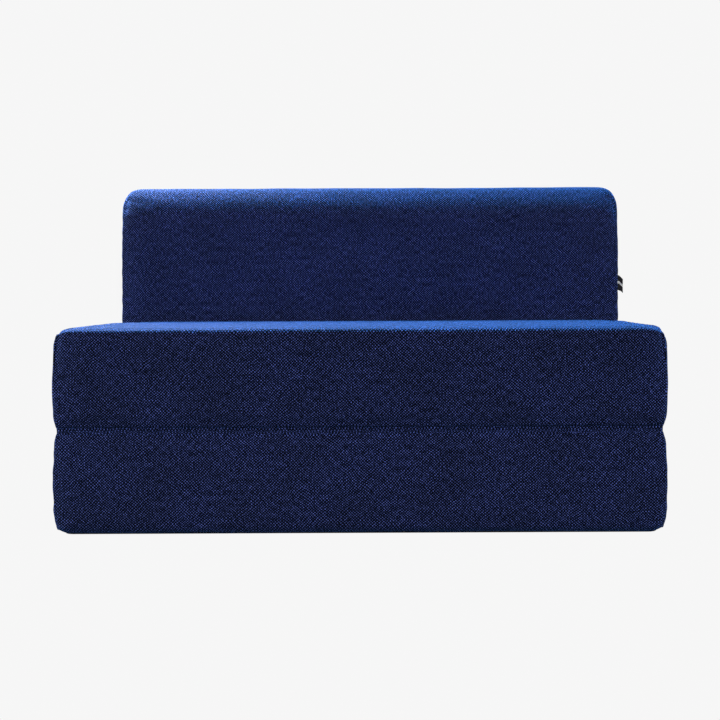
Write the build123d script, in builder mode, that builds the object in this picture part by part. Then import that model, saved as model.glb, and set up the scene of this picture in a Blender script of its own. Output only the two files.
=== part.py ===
from build123d import *

import os
from dataclasses import dataclass

# Folding futon sofa bed. Three foam sections in sewn, zipped covers: a base on the floor, a seat
# folded on top of it along a cloth hinge at the front, and a back that stands on the base's rear
# and folds down behind it on a cloth flap.
#
# Frame: +Z up, the front faces -Y and X runs along the width. The origin is on the floor, under
# the middle of the base. Lengths are in millimetres.

# Overall size
WIDTH = 1219.2
DEPTH = 749.3
BASE_TOP = 202.0
SEAT_BOTTOM = 206.0
SEAT_TOP = 406.0
BACK_TOP = 736.0
BACK_THICKNESS = 200.0
SEAT_BACK_GAP = 2.0

# Underside cloth of the base
PANEL_THICKNESS = 1.6
PANEL_MARGIN = 20.0

# Layers, from the outside inwards
COVER_WALL = 2.5
COVER_TO_LINER = 2.5
END_TO_LINER = 24.0
LINER_WALL = 0.8
LAYER_GAP = 0.3
WADDING_WALL = 10.0
SMALLEST_RADIUS = 8.0

# Front cloth hinge, in the crease between base and seat
STRIP_THICKNESS = 1.4
STRIP_HEIGHT = 8.0
STRIP_SETBACK = 1.0
STRIP_END_MARGIN = 9.6

# Rear cloth flap, hung from the base and carrying the back
FLAP_THICKNESS = 1.6
FLAP_SETOFF = 1.5
FLAP_TOP = 203.0
FLAP_LENGTH = 101.25
FLAP_END_MARGIN = 14.6
BACK_LIFT = 1.3

# Zip fasteners in the right end panels
ZIP_GAP = 1.6
TAPE_WIDTH = 12.0
TAPE_THICKNESS = 0.8
TAPE_OVERRUN = 12.0
TAPE_CLEARANCE = 0.1
COIL_WIDTH = 1.6
COIL_THICKNESS = 2.0
SLOT_HEIGHT = 5.6
STOP_LENGTH = 3.0
STOP_WIDTH = 5.0
STOP_THICKNESS = 2.2
SLIDER_LENGTH = 12.0
SLIDER_WIDTH = 8.0
SLIDER_PLATE = 1.6
SLIDER_INNER_PLATE = 1.1
SLIDER_CORE_WIDTH = 1.0
SLIDER_CORE_LENGTH = 5.0
SLIDER_CLEARANCE = 0.2
SLIDER_END_ROOM = 8.0
EAR_THICKNESS = 1.2
EAR_LENGTH = 2.8
PIN_HEIGHT = 1.8
PIN_RADIUS = 0.7
EYE_RADIUS = 1.5
EYE_BORE = 0.95
EYE_WIDTH = 3.8
PULL_LENGTH = 24.0
PULL_WIDTH = 6.5
PULL_THICKNESS = 1.2

# Folded label in the back's right side seam
LABEL_HEIGHT = 34.0
LABEL_REACH = 10.0
LABEL_PLY = 0.5
LABEL_FOLD_GAP = 0.6
LABEL_MIDDLE_Z = 499.0
LABEL_SETBACK = 10.0

FRONT = -DEPTH / 2
REAR = DEPTH / 2
END = WIDTH / 2


@dataclass
class Slab:
    """One foam section: its name, its outline in the YZ plane and its zip."""

    name: str
    front: float
    rear: float
    bottom: float
    top: float
    front_bottom_radius: float
    front_top_radius: float
    rear_bottom_radius: float
    rear_top_radius: float
    zip_length: float
    zip_direction: tuple

    def zip_plane(self):
        """The right end's outer face: x along the zip's opening travel, z outwards."""
        middle = (END, (self.front + self.rear) / 2, (self.bottom + self.top) / 2)
        return Plane(origin=middle, x_dir=self.zip_direction, z_dir=(1, 0, 0))


BASE = Slab(
    name="base",
    front=FRONT,
    rear=REAR,
    bottom=PANEL_THICKNESS,
    top=BASE_TOP,
    front_bottom_radius=20.0,
    front_top_radius=8.0,
    rear_bottom_radius=20.0,
    rear_top_radius=12.0,
    zip_length=600.0,
    zip_direction=(0, 1, 0),
)
SEAT = Slab(
    name="seat",
    front=FRONT,
    rear=REAR - BACK_THICKNESS - SEAT_BACK_GAP,
    bottom=SEAT_BOTTOM,
    top=SEAT_TOP,
    front_bottom_radius=8.0,
    front_top_radius=20.0,
    rear_bottom_radius=14.0,
    rear_top_radius=14.0,
    zip_length=420.0,
    zip_direction=(0, 1, 0),
)
BACK = Slab(
    name="back",
    front=REAR - BACK_THICKNESS,
    rear=REAR,
    bottom=FLAP_TOP + BACK_LIFT,
    top=BACK_TOP,
    front_bottom_radius=12.0,
    front_top_radius=80.0,
    rear_bottom_radius=12.0,
    rear_top_radius=25.0,
    zip_length=420.0,
    zip_direction=(0, 0, 1),
)


def draw_outline(sketch, slab, inset):
    """Draws the slab's rounded outline into an open YZ sketch, inset from its outer skin."""
    low, high = slab.bottom + inset, slab.top - inset
    front, rear = slab.front + inset, slab.rear - inset
    with Locations(((front + rear) / 2, (low + high) / 2)):
        Rectangle(rear - front, high - low)
    corners = [
        (front, low, slab.front_bottom_radius),
        (front, high, slab.front_top_radius),
        (rear, low, slab.rear_bottom_radius),
        (rear, high, slab.rear_top_radius),
    ]
    for y, z, radius in corners:
        corner = sketch.vertices().sort_by_distance((y, z))[0]
        fillet(corner, max(radius - inset, SMALLEST_RADIUS))


def cover_band(slab):
    """The band of cover cloth that runs over the top, front, underside and rear."""
    half_length = END - COVER_WALL
    with BuildPart() as band:
        with BuildSketch(Plane.YZ.offset(-half_length)) as outer:
            draw_outline(outer, slab, 0.0)
        extrude(amount=2 * half_length)
        with BuildSketch(Plane.YZ.offset(-half_length)) as inner:
            draw_outline(inner, slab, COVER_WALL)
        extrude(amount=2 * half_length, mode=Mode.SUBTRACT)
    band.part.label = f"{slab.name}_cover_band"
    export_step(band.part, f"parts/{band.part.label}.step")


def end_panel_left(slab):
    """The flat cloth panel sewn into the band's left end."""
    with BuildPart() as panel:
        with BuildSketch(Plane.YZ.offset(-END)) as outline:
            draw_outline(outline, slab, 0.0)
        extrude(amount=COVER_WALL)
    panel.part.label = f"{slab.name}_end_panel_left"
    export_step(panel.part, f"parts/{panel.part.label}.step")


def end_panel_right(slab):
    """The right end panel, slit along its middle for the zip."""
    slit_length = slab.zip_length + 2 * STOP_LENGTH + SLOT_HEIGHT
    with BuildPart() as panel:
        with BuildSketch(Plane.YZ.offset(END - COVER_WALL)) as outline:
            draw_outline(outline, slab, 0.0)
        extrude(amount=COVER_WALL)
        with BuildSketch(slab.zip_plane()):
            SlotOverall(slit_length, SLOT_HEIGHT)
        extrude(amount=-COVER_WALL, mode=Mode.SUBTRACT)
    panel.part.label = f"{slab.name}_end_panel_right"
    export_step(panel.part, f"parts/{panel.part.label}.step")


def liner_bag(slab):
    """The thin non-woven bag that holds foam and wadding, so that the cover slides on."""
    inset = COVER_WALL + COVER_TO_LINER
    half_length = END - COVER_WALL - END_TO_LINER
    with BuildPart() as bag:
        with BuildSketch(Plane.YZ.offset(-half_length)) as outer:
            draw_outline(outer, slab, inset)
        extrude(amount=2 * half_length)
        with BuildSketch(Plane.YZ.offset(LINER_WALL - half_length)) as inner:
            draw_outline(inner, slab, inset + LINER_WALL)
        extrude(amount=2 * (half_length - LINER_WALL), mode=Mode.SUBTRACT)
    bag.part.label = f"{slab.name}_liner_bag"
    export_step(bag.part, f"parts/{bag.part.label}.step")


def wadding_wrap(slab):
    """The polyester wadding wrapped once around the foam, open at both ends."""
    inset = COVER_WALL + COVER_TO_LINER + LINER_WALL + LAYER_GAP
    half_length = END - COVER_WALL - END_TO_LINER - LINER_WALL - LAYER_GAP
    with BuildPart() as wrap:
        with BuildSketch(Plane.YZ.offset(-half_length)) as outer:
            draw_outline(outer, slab, inset)
        extrude(amount=2 * half_length)
        with BuildSketch(Plane.YZ.offset(-half_length)) as inner:
            draw_outline(inner, slab, inset + WADDING_WALL)
        extrude(amount=2 * half_length, mode=Mode.SUBTRACT)
    wrap.part.label = f"{slab.name}_wadding_wrap"
    export_step(wrap.part, f"parts/{wrap.part.label}.step")


def foam_core(slab):
    """The block of firm foam that carries the weight."""
    inset = COVER_WALL + COVER_TO_LINER + LINER_WALL + WADDING_WALL + 2 * LAYER_GAP
    half_length = END - COVER_WALL - END_TO_LINER - LINER_WALL - LAYER_GAP
    with BuildPart() as core:
        with BuildSketch(Plane.YZ.offset(-half_length)) as outline:
            draw_outline(outline, slab, inset)
        extrude(amount=2 * half_length)
    core.part.label = f"{slab.name}_foam_core"
    export_step(core.part, f"parts/{core.part.label}.step")


def zip_tape(slab):
    """The zip's two tapes, sewn behind the slit's edges."""
    behind_wall = -COVER_WALL - TAPE_CLEARANCE
    centre = (ZIP_GAP + TAPE_WIDTH) / 2
    with BuildPart() as tape:
        with BuildSketch(slab.zip_plane().offset(behind_wall)):
            with Locations((0, centre), (0, -centre)):
                Rectangle(slab.zip_length + 2 * TAPE_OVERRUN, TAPE_WIDTH)
        extrude(amount=-TAPE_THICKNESS)
    tape.part.label = f"{slab.name}_zip_tape"
    export_step(tape.part, f"parts/{tape.part.label}.step")


def zip_coil(slab):
    """The two rows of coil, one on each tape."""
    behind_wall = -COVER_WALL - TAPE_CLEARANCE
    centre = (ZIP_GAP + COIL_WIDTH) / 2
    with BuildPart() as coil:
        with BuildSketch(slab.zip_plane().offset(behind_wall)):
            with Locations((0, centre), (0, -centre)):
                Rectangle(slab.zip_length, COIL_WIDTH)
        extrude(amount=COIL_THICKNESS)
    coil.part.label = f"{slab.name}_zip_coil"
    export_step(coil.part, f"parts/{coil.part.label}.step")


def zip_stops(slab):
    """The two metal clips that stop the slider at the coil's ends."""
    behind_wall = -COVER_WALL - TAPE_CLEARANCE
    centre = (slab.zip_length + STOP_LENGTH) / 2
    with BuildPart() as stops:
        with BuildSketch(slab.zip_plane().offset(behind_wall)):
            with Locations((centre, 0), (-centre, 0)):
                Rectangle(STOP_LENGTH, STOP_WIDTH)
        extrude(amount=STOP_THICKNESS)
    stops.part.label = f"{slab.name}_zip_stops"
    export_step(stops.part, f"parts/{stops.part.label}.step")


def slider_plane(slab):
    """The zip's plane, moved to where the slider stands when the zip is closed."""
    plane = slab.zip_plane()
    travel = SLIDER_END_ROOM - slab.zip_length / 2
    return Plane(
        origin=plane.origin + plane.x_dir * travel,
        x_dir=plane.x_dir,
        z_dir=plane.z_dir,
    )


def zip_slider(slab):
    """The slider: a plate on each side of the tape, a core between them and a pin in two ears."""
    face = slider_plane(slab)
    behind_tape = -COVER_WALL - TAPE_CLEARANCE - TAPE_THICKNESS - SLIDER_CLEARANCE
    plate_top = SLIDER_CLEARANCE + SLIDER_PLATE
    ear_centre = (EYE_WIDTH + EAR_THICKNESS) / 2 + SLIDER_CLEARANCE
    pin_height = plate_top + PIN_HEIGHT
    with BuildPart() as slider:
        with BuildSketch(face.offset(SLIDER_CLEARANCE)):
            RectangleRounded(SLIDER_LENGTH, SLIDER_WIDTH, SLIDER_WIDTH / 4)
        extrude(amount=SLIDER_PLATE)
        with BuildSketch(face.offset(behind_tape)):
            RectangleRounded(SLIDER_LENGTH, SLIDER_WIDTH, SLIDER_WIDTH / 4)
        extrude(amount=-SLIDER_INNER_PLATE)
        with BuildSketch(face.offset(behind_tape)):
            Rectangle(SLIDER_CORE_LENGTH, SLIDER_CORE_WIDTH)
        extrude(amount=SLIDER_CLEARANCE - behind_tape)
        with BuildSketch(face.offset(plate_top)):
            with Locations((0, ear_centre), (0, -ear_centre)):
                Rectangle(EAR_LENGTH, EAR_THICKNESS)
        extrude(amount=PIN_HEIGHT + EAR_LENGTH / 2)
        with Locations(face.offset(pin_height)):
            Cylinder(PIN_RADIUS, 2 * ear_centre, rotation=(90, 0, 0))
    slider.part.label = f"{slab.name}_zip_slider"
    export_step(slider.part, f"parts/{slider.part.label}.step")


def zip_pull(slab):
    """The pull tab, with a round eye that turns on the slider's pin."""
    face = slider_plane(slab)
    pin_height = SLIDER_CLEARANCE + SLIDER_PLATE + PIN_HEIGHT
    tab_length = PULL_LENGTH - EYE_RADIUS
    hole_middle = -(PULL_LENGTH - PULL_WIDTH / 2)
    neck_length = EYE_RADIUS + EAR_LENGTH
    with BuildPart() as pull:
        with Locations(face.offset(pin_height)):
            Cylinder(EYE_RADIUS, EYE_WIDTH, rotation=(90, 0, 0))
        with BuildSketch(face.offset(pin_height - PULL_THICKNESS / 2)):
            with Locations((-neck_length / 2, 0)):
                Rectangle(neck_length, EYE_WIDTH)
            with Locations((-(PULL_LENGTH + EAR_LENGTH) / 2, 0)):
                RectangleRounded(tab_length - EAR_LENGTH, PULL_WIDTH, EYE_RADIUS)
            with Locations((hole_middle, 0)):
                Circle(PULL_WIDTH / 4, mode=Mode.SUBTRACT)
        extrude(amount=PULL_THICKNESS)
        with Locations(face.offset(pin_height)):
            Cylinder(EYE_BORE, 2 * EYE_WIDTH, rotation=(90, 0, 0), mode=Mode.SUBTRACT)
    pull.part.label = f"{slab.name}_zip_pull"
    export_step(pull.part, f"parts/{pull.part.label}.step")


def base_bottom_panel():
    """The black non-slip cloth that the base stands on."""
    margin = 2 * PANEL_MARGIN
    with BuildPart() as panel:
        with BuildSketch(Plane.XY):
            RectangleRounded(WIDTH - margin, DEPTH - margin, PANEL_MARGIN)
        extrude(amount=PANEL_THICKNESS)
    panel.part.label = "base_bottom_panel"
    export_step(panel.part, "parts/base_bottom_panel.step")


def front_hinge_strip():
    """The cloth in the front crease that joins the base's top edge to the seat's lower edge."""
    middle_y = FRONT + STRIP_SETBACK + STRIP_THICKNESS / 2
    middle_z = (BASE_TOP + SEAT_BOTTOM) / 2
    half_length = END - STRIP_END_MARGIN
    with BuildPart() as strip:
        with BuildSketch(Plane.YZ.offset(-half_length)):
            with Locations((middle_y, middle_z)):
                Rectangle(STRIP_THICKNESS, STRIP_HEIGHT)
        extrude(amount=2 * half_length)
    strip.part.label = "front_hinge_strip"
    export_step(strip.part, "parts/front_hinge_strip.step")


def rear_hinge_flap():
    """The cloth flap behind the base: its lower edge is sewn to the base, its top to the back."""
    middle_z = FLAP_TOP - FLAP_LENGTH / 2
    half_length = END - FLAP_END_MARGIN
    with BuildPart() as flap:
        with BuildSketch(Plane.YZ.offset(-half_length)):
            with Locations((REAR + FLAP_SETOFF, middle_z)):
                SlotCenterToCenter(FLAP_LENGTH, FLAP_THICKNESS, rotation=90)
        extrude(amount=2 * half_length)
    flap.part.label = "rear_hinge_flap"
    export_step(flap.part, "parts/rear_hinge_flap.step")


def side_label():
    """The folded label in the back's right side seam: two plies that meet in a rounded fold."""
    thickness = 2 * LABEL_PLY + LABEL_FOLD_GAP
    middle_y = BACK.front + LABEL_SETBACK
    length = LABEL_REACH - thickness / 2
    with BuildPart() as label:
        with BuildSketch(Plane.XY.offset(LABEL_MIDDLE_Z - LABEL_HEIGHT / 2)):
            with Locations((END + length / 2, middle_y)):
                Rectangle(length, thickness)
            with Locations((END + length, middle_y)):
                Circle(thickness / 2)
            with Locations((END + length / 2, middle_y)):
                Rectangle(length, LABEL_FOLD_GAP, mode=Mode.SUBTRACT)
            with Locations((END + length, middle_y)):
                Circle(LABEL_FOLD_GAP / 2, mode=Mode.SUBTRACT)
        extrude(amount=LABEL_HEIGHT)
    label.part.label = "side_label"
    export_step(label.part, "parts/side_label.step")


os.makedirs("parts", exist_ok=True)
for section in (BASE, SEAT, BACK):
    cover_band(section)
    end_panel_left(section)
    end_panel_right(section)
    liner_bag(section)
    wadding_wrap(section)
    foam_core(section)
    zip_tape(section)
    zip_coil(section)
    zip_stops(section)
    zip_slider(section)
    zip_pull(section)
base_bottom_panel()
front_hinge_strip()
rear_hinge_flap()
side_label()
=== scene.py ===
import functools
import math
from dataclasses import dataclass

import bmesh
import bpy
import numpy as np
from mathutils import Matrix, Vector


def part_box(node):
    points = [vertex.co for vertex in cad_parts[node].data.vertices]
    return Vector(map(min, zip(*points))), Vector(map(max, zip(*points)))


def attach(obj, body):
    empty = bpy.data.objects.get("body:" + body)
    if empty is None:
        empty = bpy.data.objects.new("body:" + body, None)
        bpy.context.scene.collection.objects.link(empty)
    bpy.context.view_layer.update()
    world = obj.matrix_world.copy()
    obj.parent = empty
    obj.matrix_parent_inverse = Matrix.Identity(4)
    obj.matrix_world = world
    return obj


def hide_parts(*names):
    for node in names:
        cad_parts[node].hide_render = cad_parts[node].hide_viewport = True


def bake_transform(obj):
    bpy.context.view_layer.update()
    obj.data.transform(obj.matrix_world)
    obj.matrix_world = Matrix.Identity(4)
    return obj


# Folding futon sofa bed: three foam sections in woven blue covers with boxed ends. Each cover is
# one closed mesh, swelled by Cloth and then given its seams, puckers, slit and weave.
# Lengths are in metres and the frame is the CAD's: +Z up, the front faces -Y.

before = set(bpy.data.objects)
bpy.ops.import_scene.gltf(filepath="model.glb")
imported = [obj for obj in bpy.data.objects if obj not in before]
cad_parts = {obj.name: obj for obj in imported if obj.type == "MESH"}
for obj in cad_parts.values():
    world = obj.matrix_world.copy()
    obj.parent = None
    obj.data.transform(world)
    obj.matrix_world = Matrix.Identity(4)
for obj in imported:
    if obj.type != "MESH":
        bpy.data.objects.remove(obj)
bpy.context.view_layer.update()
MM = 0.001

# Cover mesh: cells, and how they grow away from the seams
FINE_CELL = 3.5 * MM
COARSE_CELL = 14 * MM
GRADING_REACH = 60 * MM
GRADING_SAMPLES = 2001
ARC_STEPS = 12

# Ends of a cover: how the band rolls over to the seam and the end panel rises behind it
EDGE_SETBACK = 5 * MM
CORNER_SETBACK = 11 * MM
CORNER_REACH = 65 * MM
SETBACK_REACH = 60 * MM
END_SHOULDER = 30 * MM
END_DEPTH = 20 * MM
RIM_REACH = 40 * MM
END_CROWN = 2.5 * MM
START_INSET = 0.6 * MM
INWARD_LIMIT = 0.3 * MM

# Cloth
CLOTH_SETTINGS = {
    "quality": 4,
    "mass": 0.3,
    "tension_stiffness": 20,
    "compression_stiffness": 20,
    "shear_stiffness": 8,
    "bending_stiffness": 1.0,
    "use_pressure": True,
    "uniform_pressure_force": 4.0,
}
LAST_FRAME = 20

# Wrinkles, and how the cloth lies over the liner
PUCKER_HEIGHT = 1.1 * MM
PUCKER_REACH = 26 * MM
PUCKER_START = 4 * MM
PUCKER_SLANT = 0.6
PUCKER_LENGTHS = (22 * MM, 70 * MM)
SWAY_HEIGHT = 0.6 * MM
SWAY_LENGTHS = (110 * MM, 420 * MM)
WAVE_COUNT = 14
WAVE_PEAK = 1.6
LINER_RADIUS = 8 * MM
LINER_GAP = 0.7 * MM

# Front crease: its gathers, and the hinge cloth (thickness, waviness, seed) folded into it
GATHER_RIPPLE = 0.8 * MM
GATHER_LENGTHS = (45 * MM, 150 * MM)
GATHER_DEPTH = 30 * MM
GATHER_POWER = 1.2
STRIP_DEPTH = 5 * MM
STRIP_HALF_HEIGHT = 7.5 * MM
STRIP_ROWS = 12
STRIP_BOW = 2.2 * MM
STRIP_SETBACK = 1.6 * MM
STRIP_CLOTH = (1.2 * MM, 0.3 * MM, 61)
STRIP_END_GAP = 3 * MM
STRIP_SLACK = 14 * MM

# Rear flap and its sewn hems
FLAP_END_GAP = 1 * MM
FLAP_ROWS = 30
FLAP_SAG = 0.2 * MM
FLAP_SAG_TURN = 0.7
FLAP_CLOTH = (1.1 * MM, 0.15 * MM, 71)
HEM_HALF_HEIGHT = 7 * MM
HEM_ROWS = 15
HEM_SHIFT = 0.1 * MM
HEM_CLOTH = (1.2 * MM, 0.1 * MM, 83)
STATIONS = 161
STRIP_LENGTHS = (50 * MM, 160 * MM)

# Zip slit in the right end panels, with its stitches and teeth
SLIT_HALF = 2.8 * MM
SLIT_OVERRUN = 3.0 * MM
SLIT_SURROUND = 20 * MM
SLIT_HEM_DEPTH = 2.2 * MM
SLIT_HEM_TURN = 0.3 * MM
CALM_HALF = 12 * MM
CALM_FADE = 25 * MM
CALM_FADE_ALONG = 30 * MM
ZIP_CLOTH_SINK = 0.4 * MM
STITCH_SINK = 0.3 * MM
STITCH_OFFSET = 7 * MM
STITCH_OVERRUN = 8 * MM
STITCH_PITCH = 4.2 * MM
STITCH_LENGTH = 3.0 * MM
STITCH_RADIUS = 0.32 * MM
STITCH_CORNERS = 6
STITCH_PROFILE = ((0.0, 0.5, -0.5), (0.2, 1.0, 0.2), (0.8, 1.0, 0.2), (1.0, 0.5, -0.5))
TOOTH_PITCH = 1.8 * MM
TOOTH_STAGGER = 0.25
TOOTH_LENGTH = 1.0 * MM
TOOTH_TIP = 0.55 * MM
TOOTH_ROOT = 2.4 * MM
TOOTH_PROFILE = ((TOOTH_TIP, 0.55), (TOOTH_TIP + 0.4 * MM, 1.0), (TOOTH_ROOT, 1.0))
TOOTH_OUTLINE = ((-1, 0.6), (-0.4, 1), (0.6, 1), (1, 0.5), (1, -0.5), (0.6, -1), (-0.4, -1), (-1, -0.6))
METAL_BEVEL = 0.2 * MM

# Label
LABEL_ROOT = 8 * MM
LABEL_COLUMNS = 10
LABEL_ROWS = 15
LABEL_HALF_PLY = 0.55 * MM
LABEL_CURL = 0.8 * MM
LABEL_CURL_LENGTH = 18 * MM
LABEL_FOLD = (0.8 * MM, 0.3 * MM)
LABEL_SAG = 10 * MM
LABEL_STRIPE = (2.6 * MM, 3.4 * MM)
LABEL_RIB = 0.5 * MM

# Underside: inset and height of each ring of its hemmed edge, in mm
UNDERSIDE_PROFILE = (
    (0.6, 0.0), (0.0, 0.4), (0.0, 1.2), (0.6, 1.6), (9.0, 1.6), (10.0, 1.2), (11.0, 1.6),
)
UNDERSIDE_CORNER = 20 * MM
UNDERSIDE_ARC_STEPS = 7

# Cover cloth: two-thread repeats, drift of the threads, colours and relief
REPEAT_ACROSS = 6.25 * MM
REPEAT_ALONG = 5.75 * MM
DRIFT_SCALE = 28.0
DRIFT = 9 * MM
WARP_COLOURS = ((0.029, 0.046, 0.165, 1), (0.102, 0.146, 0.49, 1))
WEFT_COLOURS = ((0.0003, 0.0006, 0.003, 1), (0.001, 0.0018, 0.009, 1))
SHADE_COLOURS = ((0.82, 0.83, 0.86, 1), (1.0, 1.02, 1.1, 1))
WEAVE_RELIEF = 0.9 * MM

# Stage, lights and camera
BACKDROP = 0.923
FLOOR_RADIUS = 14
FLOOR_HEIGHT = -0.5 * MM
SKY_RADIUS = 13.9
WORLD_STRENGTH = 0.03
LIGHTS = (
    ("overhead", (0.0, 0.75, 3.6), (0.0, 0.0, 0.4), (2.0, 0.5), 415, (0.1, 0.7, 1.0)),
    ("top_left", (-0.7, 0.5, 1.5), (-0.5, 0.0, 0.4), (0.1, 0.4), 60, (0.95, 1.0, 1.0)),
    ("front", (0.0, -3.4, 2.2), (0, 0, 0.3), (3.5, 1.6), 80, (1.0, 0.97, 0.98)),
    ("back_left", (-2.4, 2.6, 1.3), (0, 0, 0.4), (1.5, 1.5), 50, (1.0, 1.0, 1.0)),
    ("left", (-3.0, -0.6, 0.8), (-0.6, 0, 0.3), (1.5, 1.5), 70, (1.0, 1.0, 1.0)),
    ("right", (3.0, -0.6, 0.6), (0.6, 0, 0.3), (1.5, 1.5), 45, (0.85, 0.94, 1.0)),
    ("floor_bounce", (0.0, -0.8, 0.03), (0, -0.37, 0.0), (2.2, 0.2), 1.3, (1.0, 0.92, 0.8)),
)
LENS = 57.9
SENSOR_WIDTH = 36
LENS_SHIFT = (-0.075, -0.095)
CAMERA_PLACE = (0.108, -2.650, 0.478)
CAMERA_ROLL = 0.25
CLIP_END = 100


@functools.cache
def node_box(name):
    """A CAD node's lowest and highest corners, read once."""
    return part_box(name)


@dataclass
class Section:
    """One padded section: corner radii (y, z), how its faces swell, and its crease (reach, draw)."""

    name: str
    front_bottom: tuple
    rear_bottom: tuple
    rear_top: tuple
    front_top: tuple
    zip_axis: int
    zip_half: float
    rim_drop: dict
    swell: dict
    room: dict
    crease: tuple
    seed: int

    def box(self):
        return node_box(f"{self.name}_cover_band")

    def end(self):
        return node_box(f"{self.name}_end_panel_right")[1].x

    def zip_centre(self):
        low, high = node_box(f"{self.name}_zip_tape")
        return (low + high) / 2


BASE = Section(
    name="base",
    front_bottom=(20 * MM, 20 * MM),
    rear_bottom=(20 * MM, 20 * MM),
    rear_top=(12 * MM, 12 * MM),
    front_top=(6 * MM, 14 * MM),
    zip_axis=1,
    zip_half=300 * MM,
    rim_drop={"sides": 3.4 * MM, "top": 3.4 * MM, "bottom_corners": 8 * MM, "top_corners": 2 * MM},
    swell={"front": 2.5 * MM, "rear": 0.4 * MM, "top": 1 * MM, "bottom": 0.3 * MM, "ends": 3 * MM},
    room={"front": 1.4 * MM, "rear": 0.3 * MM, "top": 1.2 * MM, "bottom": 0.0},
    crease=(12 * MM, 1.0 * MM),
    seed=11,
)
SEAT = Section(
    name="seat",
    front_bottom=(14 * MM, 30 * MM),
    rear_bottom=(14 * MM, 14 * MM),
    rear_top=(14 * MM, 14 * MM),
    front_top=(8 * MM, 8 * MM),
    zip_axis=1,
    zip_half=210 * MM,
    rim_drop={"sides": 3.4 * MM, "top": 1 * MM, "bottom_corners": 2 * MM, "top_corners": 15 * MM},
    swell={"front": 2.5 * MM, "rear": 0.6 * MM, "top": 4 * MM, "bottom": 0.6 * MM, "ends": 3 * MM},
    room={"front": 1.4 * MM, "rear": 0.8 * MM, "top": 2.0 * MM, "bottom": 1.2 * MM},
    crease=(30 * MM, 2.5 * MM),
    seed=23,
)
BACK = Section(
    name="back",
    front_bottom=(12 * MM, 12 * MM),
    rear_bottom=(12 * MM, 12 * MM),
    rear_top=(25 * MM, 25 * MM),
    front_top=(45 * MM, 90 * MM),
    zip_axis=2,
    zip_half=210 * MM,
    rim_drop={"sides": 6 * MM, "top": 18 * MM, "bottom_corners": 4 * MM, "top_corners": 18 * MM},
    swell={"front": 1.5 * MM, "rear": 1.2 * MM, "top": 2.5 * MM, "bottom": 0.6 * MM, "ends": 3 * MM},
    room={"front": 0.8 * MM, "rear": 1.4 * MM, "top": 2 * MM, "bottom": 0.0},
    crease=(),
    seed=37,
)
SECTIONS = (BASE, SEAT, BACK)


# ---------------- shape helpers


def smooth(t):
    """Smoothstep of t, held between 0 and 1."""
    t = np.clip(t, 0, 1)
    return t * t * (3 - 2 * t)


def graded(length, count=None):
    """Distances from 0 to length, closer together towards both ends."""
    s = np.linspace(0, length, GRADING_SAMPLES)
    nearest = np.minimum(s, length - s)
    cell = FINE_CELL + (COARSE_CELL - FINE_CELL) * smooth(nearest / GRADING_REACH)
    steps = np.concatenate(([0], np.cumsum(np.diff(s) * 2 / (cell[1:] + cell[:-1]))))
    count = count or round(steps[-1])
    return np.interp(np.linspace(0, steps[-1], count + 1), steps, s)


def waves(points, lengths, seed):
    """A smooth seeded undulation of about -1 to 1 at each 1-D, 2-D or 3-D point."""
    rng = np.random.default_rng(seed)
    total = np.zeros(len(points))
    for _ in range(WAVE_COUNT):
        direction = rng.normal(size=points.shape[1])
        direction /= np.linalg.norm(direction)
        wavelength = math.exp(rng.uniform(*np.log(lengths)))
        phase = rng.uniform(0, 2 * math.pi)
        total += np.sin(points @ direction * 2 * math.pi / wavelength + phase)
    return total / math.sqrt(WAVE_COUNT / 2) / WAVE_PEAK


def half_arc(corner, radii, signs, start, stop):
    """Points and outward normals of half a corner, between two angles in degrees."""
    angle = np.radians(np.linspace(start, stop, ARC_STEPS))
    unit = np.stack([np.cos(angle), np.sin(angle)], 1)
    radii = np.array(radii)
    signs = np.array(signs)
    points = np.array(corner) + signs * radii * (unit - 1)
    normals = signs * unit / radii
    return points, normals / np.linalg.norm(normals, axis=1, keepdims=True)


def outline_sides(section):
    """The four sides of the section's outline in (y, z), each from arc middle to arc middle."""
    low, high = section.box()
    corners = {
        "front_bottom": ((low.y, low.z), (-1, -1)),
        "rear_bottom": ((high.y, low.z), (1, -1)),
        "rear_top": ((high.y, high.z), (1, 1)),
        "front_top": ((low.y, high.z), (-1, 1)),
    }
    route = [
        ("front_bottom", "rear_bottom", 90),
        ("rear_bottom", "rear_top", 0),
        ("rear_top", "front_top", 90),
        ("front_top", "front_bottom", 0),
    ]
    sides = []
    for first, second, flat in route:
        one = half_arc(corners[first][0], getattr(section, first), corners[first][1], 45, flat)
        two = half_arc(corners[second][0], getattr(section, second), corners[second][1], flat, 45)
        sides.append((np.concatenate([one[0], two[0]]), np.concatenate([one[1], two[1]])))
    return sides


def resample(side, count):
    """A side's points, normals and distances at graded places along it."""
    points, normals = side
    run = np.concatenate(([0], np.cumsum(np.linalg.norm(np.diff(points, axis=0), axis=1))))
    places = graded(run[-1], count)
    columns = [np.interp(places, run, values) for values in (*points.T, *normals.T)]
    return np.stack(columns[:2], 1), np.stack(columns[2:], 1), places


def side_length(side):
    return np.linalg.norm(np.diff(side[0], axis=0), axis=1).sum()


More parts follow.
